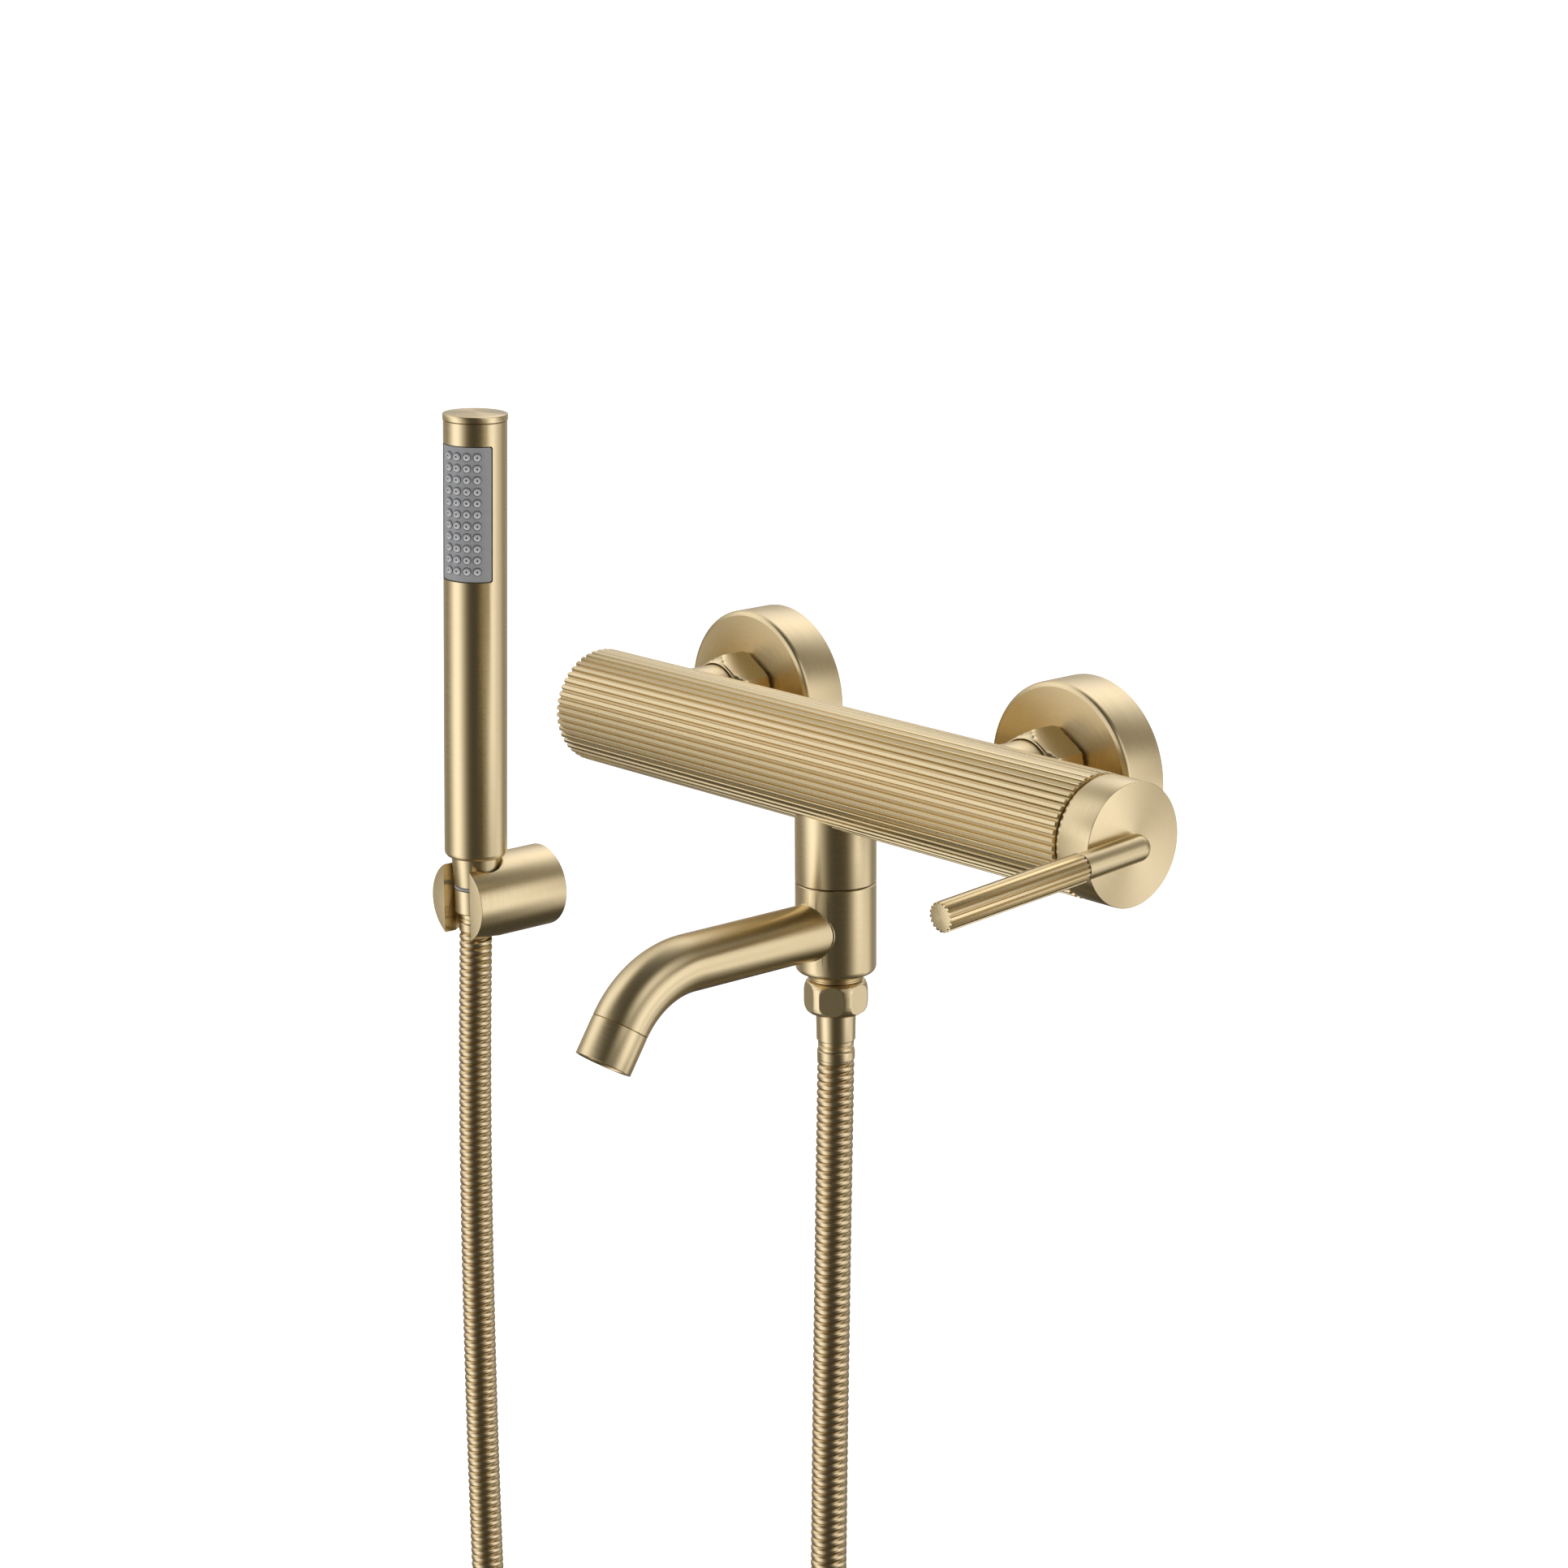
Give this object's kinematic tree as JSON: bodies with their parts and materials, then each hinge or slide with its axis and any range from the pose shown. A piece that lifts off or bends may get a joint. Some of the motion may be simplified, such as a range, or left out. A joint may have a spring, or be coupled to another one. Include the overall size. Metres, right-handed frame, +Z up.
{
  "type": "wall mounted bath faucet",
  "caption": "Wall-mounted bath and shower mixer in brushed brass with a ribbed bar body, side pin lever, swivel spout, metal hose and a stick hand shower in its bracket",
  "frame": {"origin": "on the finished wall, midway between the hot and cold inlets", "axes": "+X along the mixer body towards the handle, +Y into the wall, +Z up; the spout and the lever stand out along -Y"},
  "size_m": [0.379, 0.1687, 0.775],
  "materials": {
    "brushed_brass": "fine concentric and circumferential brushing, satin",
    "raw_brass": "as machined, unseen",
    "hose_steel": "spiral-wound brass-coloured steel casing over a rubber tube",
    "black_rubber": "matte",
    "grey_silicone": "matte soft silicone",
    "ceramic": "lapped alumina",
    "white_plastic": "moulded",
    "dark_steel": "plain stainless steel"
  },
  "bodies": {
    "mixer": {"mixer_body": "brushed_brass", "end_plug": "brushed_brass", "body_collar": "brushed_brass", "rosette_left": "brushed_brass", "rosette_right": "brushed_brass", "union_nut_left": "brushed_brass", "union_nut_right": "brushed_brass", "inlet_spigot_left": "brushed_brass", "inlet_spigot_right": "brushed_brass", "outlet_tube": "brushed_brass", "retaining_collar": "brushed_brass", "hose_nut": "brushed_brass", "hose_ferrule": "brushed_brass", "bracket_body": "brushed_brass", "cartridge_nut": "raw_brass", "wall_union_left": "raw_brass", "wall_union_right": "raw_brass", "swivel_stem": "raw_brass", "hose": "hose_steel", "cartridge_seal": "black_rubber", "union_washer_left": "black_rubber", "union_washer_right": "black_rubber", "outlet_o_ring": "black_rubber", "stem_o_ring_upper": "black_rubber", "stem_o_ring_lower": "black_rubber", "hose_washer": "black_rubber", "cartridge_fixed_disc": "ceramic", "cartridge_housing": "white_plastic", "check_valve_left": "white_plastic", "check_valve_right": "white_plastic", "swivel_ring": "white_plastic", "bracket_wall_plate": "dark_steel", "bracket_grub_screw": "dark_steel"},
    "handle": {"cartridge_moving_disc": "ceramic", "cartridge_spindle": "white_plastic", "handle_cap": "brushed_brass", "handle_grub_screw": "dark_steel", "lever_stem": "brushed_brass", "lever_grip": "brushed_brass"},
    "spout": {"spout_body": "brushed_brass", "aerator_ring": "brushed_brass", "aerator_washer": "black_rubber", "aerator_insert": "grey_silicone"},
    "handset": {"handset_body": "brushed_brass", "handset_top_cap": "brushed_brass", "spray_plate": "grey_silicone", "nozzle_mat": "grey_silicone", "flow_regulator": "white_plastic", "handset_washer": "grey_silicone", "hose_cone": "brushed_brass", "cone_washer": "black_rubber", "hose_collar": "brushed_brass"}
  },
  "joints": [
    {"name": "handle_turn", "type": "hinge", "parent": "mixer", "child": "handle", "pos_m": [0.135, -0.0508, -0.003], "axis": [-1, 0, 0], "range_deg": [0, 100]},
    {"name": "spout_swivel", "type": "hinge", "parent": "mixer", "child": "spout", "pos_m": [0.0082, -0.0508, -0.0566], "axis": [0, 0, 1], "range_deg": [-90, 90]},
    {"name": "handset_lift", "type": "slide", "parent": "mixer", "child": "handset", "axis": [0.015, 0.017, 0.9997], "range_m": [0, 0.04]}
  ]
}
